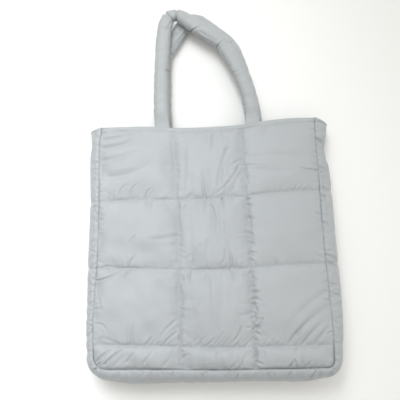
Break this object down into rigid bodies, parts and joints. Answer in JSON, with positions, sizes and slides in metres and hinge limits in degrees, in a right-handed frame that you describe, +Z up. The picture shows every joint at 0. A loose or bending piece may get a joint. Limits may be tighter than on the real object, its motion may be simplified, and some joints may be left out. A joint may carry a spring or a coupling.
{
  "type": "puffer tote bag",
  "caption": "Soft quilted tote bag with padded front and back, a rolled padded gusset, an open mouth and padded tube handles, lying on its back.",
  "frame": {"origin": "on the floor that the bag lies on, under the middle of the back panel, in a cell that its weight presses flat", "axes": "+Z up out of the front panel, +Y from the base to the mouth and the handles, +X to the right seen from above"},
  "size_m": [0.3595, 0.5549, 0.0724],
  "materials": {
    "shell_cloth": "pale grey plain-weave nylon over wadding, soft satin sheen",
    "handle_cloth": "pale grey plain-weave nylon tube over wadding, soft satin sheen"
  },
  "bodies": {
    "root": {"front_panel": "shell_cloth", "back_panel": "shell_cloth", "gusset": "shell_cloth", "front_handle": "handle_cloth", "back_handle": "handle_cloth"}
  },
  "joints": []
}
